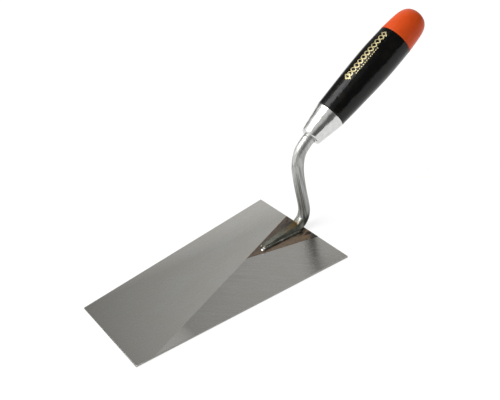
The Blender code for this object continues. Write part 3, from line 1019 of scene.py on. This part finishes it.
def lay_ribbon(shape, wave_height, lift):
    """A ribbon of foil that runs in waves along the grip."""
    length = ORNAMENT_END - ORNAMENT_START
    rings = []
    for step in range(RIBBON_STEPS + 1):
        along = mix(ORNAMENT_START, ORNAMENT_END, step / RIBBON_STEPS)
        angle = math.tau * (along - ORNAMENT_START) / length * RIBBON_WAVES
        height = wave_height * math.sin(angle)
        steepness = wave_height * math.tau * RIBBON_WAVES / length * math.cos(angle)
        half = RIBBON_HALF_WIDTH * math.hypot(1, steepness)
        corners = ((half, lift), (-half, lift), (-half, -lift), (half, -lift))
        rings.append([on_grip(along, height + up, out) for up, out in corners])
    loft(rings, shape)


def build_ornament(foil):
    """A generic braid of two ribbons between two lozenges, over a dashed rule."""
    shape = bmesh.new()
    for along, size in LOZENGES:
        centre = (along, 0)
        add_foil(shape, slanted(centre, LOZENGE, 1, size), slanted(centre, LOZENGE_HOLE, 1, size))
    lay_ribbon(shape, RIBBON_HEIGHT, FOIL_LIFT)
    lay_ribbon(shape, -RIBBON_HEIGHT, FOIL_LIFT * RIBBON_OVERLAP)
    for i in range(DASH_COUNT):
        centre = (mix(*DASHES_OVER, i / (DASH_COUNT - 1)), DASHES_ROUND)
        outer = slanted(centre, DASH, DASH_SQUARENESS)
        add_foil(shape, outer, slanted(centre, DASH_HOLE, DASH_SQUARENESS))
    add_piece("ornament_gold", shape, (foil,), on_handle=True, sharp=30)


# --- Studio --------------------------------------------------------------------------------


def add_floor():
    """A plain, nearly white light table."""
    finish = Finish(
        "studio_floor",
        Roughness=0.8,
        Specular_IOR_Level=0.2,
        Emission_Color=(1, 1, 1, 1),
        Emission_Strength=FLOOR_EMISSION,
    )
    dark, pale = FLOOR_TONES
    tone = finish.noise((3, 3, 3), detail=2)
    finish.connect(Base_Color=finish.ramp(tone, (0.3, (dark,) * 3), (0.7, (pale,) * 3)))
    shape = bmesh.new()
    bmesh.ops.create_grid(shape, x_segments=8, y_segments=8, size=FLOOR_REACH)
    mesh = bpy.data.meshes.new("floor")
    shape.to_mesh(mesh)
    shape.free()
    mesh.materials.append(finish.material)
    floor = bpy.data.objects.new("floor", mesh)
    floor.location.z = -FLOOR_DROP
    bpy.context.scene.collection.objects.link(floor)


def direction(azimuth, elevation):
    """A unit vector. Azimuth 0 is +Y and 90 is +X, in degrees."""
    azimuth = math.radians(azimuth)
    elevation = math.radians(elevation)
    flat = math.cos(elevation)
    return Vector((math.sin(azimuth) * flat, math.cos(azimuth) * flat, math.sin(elevation)))


def add_key():
    """A soft key light from the upper left."""
    key = bpy.data.objects.new("key", bpy.data.lights.new("key", "SUN"))
    key.data.energy = KEY_STRENGTH
    key.data.angle = KEY_ANGLE
    key.rotation_mode = "QUATERNION"
    key.rotation_quaternion = direction(*KEY_TOWARDS).to_track_quat("Z", "Y")
    bpy.context.scene.collection.objects.link(key)


def add_glow(tree, coords, level, towards, start, full, strength):
    """Adds a soft glow in one direction to the room's level, and hands back the new level."""
    facing = tree.nodes.new("ShaderNodeVectorMath")
    facing.operation = "DOT_PRODUCT"
    facing.inputs[1].default_value = direction(*towards)
    tree.links.new(coords, facing.inputs[0])
    glow = tree.nodes.new("ShaderNodeMapRange")
    glow.interpolation_type = "SMOOTHSTEP"
    tree.links.new(facing.outputs["Value"], glow.inputs[0])
    for socket, value in enumerate((start, full, 0, strength), 1):
        glow.inputs[socket].default_value = value
    total = tree.nodes.new("ShaderNodeMath")
    tree.links.new(glow.outputs[0], total.inputs[0])
    tree.links.new(level, total.inputs[1])
    return total.outputs[0]


def add_room():
    """A dim room that glows beyond the blade and on the left."""
    world = bpy.data.worlds.new("room")
    world.use_nodes = True
    tree = world.node_tree
    coords = tree.nodes.new("ShaderNodeTexCoord").outputs["Generated"]
    level = tree.nodes.new("ShaderNodeValue").outputs[0]
    level.default_value = ROOM_LEVEL
    for glow in ROOM_GLOWS:
        level = add_glow(tree, coords, level, *glow)
    background = tree.nodes["Background"]
    background.inputs["Color"].default_value = ROOM_COLOUR
    tree.links.new(level, background.inputs["Strength"])
    bpy.context.scene.world = world


def add_camera():
    """The camera looks along its azimuth, down by its elevation, and is then rolled."""
    azimuth = math.radians(CAMERA_AZIMUTH)
    forward = direction(CAMERA_AZIMUTH, -CAMERA_ELEVATION)
    level_right = Vector((math.cos(azimuth), -math.sin(azimuth), 0))
    level_up = level_right.cross(forward)
    right = level_right * math.cos(CAMERA_ROLL) - level_up * math.sin(CAMERA_ROLL)
    up = level_right * math.sin(CAMERA_ROLL) + level_up * math.cos(CAMERA_ROLL)
    turn = Matrix((right, up, -forward)).transposed().to_4x4()
    camera = bpy.data.objects.new("camera", bpy.data.cameras.new("camera"))
    camera.data.lens = CAMERA_LENS
    camera.data.sensor_width = CAMERA_SENSOR
    camera.data.clip_start = CAMERA_CLIP
    camera.matrix_world = Matrix.Translation(CAMERA_PLACE) @ turn
    bpy.context.scene.collection.objects.link(camera)
    bpy.context.scene.camera = camera


def main():
    far = ground_steel("ground_steel_far", FAR_MARKS, FAR_STEEL, FAR_LINE_DEPTH, FAR_HOLLOW_RISE)
    # The near face's steel is painted darker: painted shade.
    near = ground_steel("ground_steel_near", NEAR_MARKS, NEAR_STEEL_PAINTED_SHADE, NEAR_LINE_DEPTH, NEAR_HOLLOW_RISE)
    build_blade(far, near, mill_scale())
    build_tang(forged_steel())
    bead = weld_metal()
    build_side_weld("weld_bead_left", "weld_left", 1, bead)
    build_side_weld("weld_bead_right", "weld_right", -1, bead)
    build_tip_weld(bright_weld())
    build_ferrule(polished_steel())
    build_grip(black_lacquer())
    build_end_cap(orange_paint())
    build_ornament(gold_foil())
    add_floor()
    add_key()
    add_room()
    add_camera()
    bpy.context.scene.view_settings.view_transform = "Standard"


main()
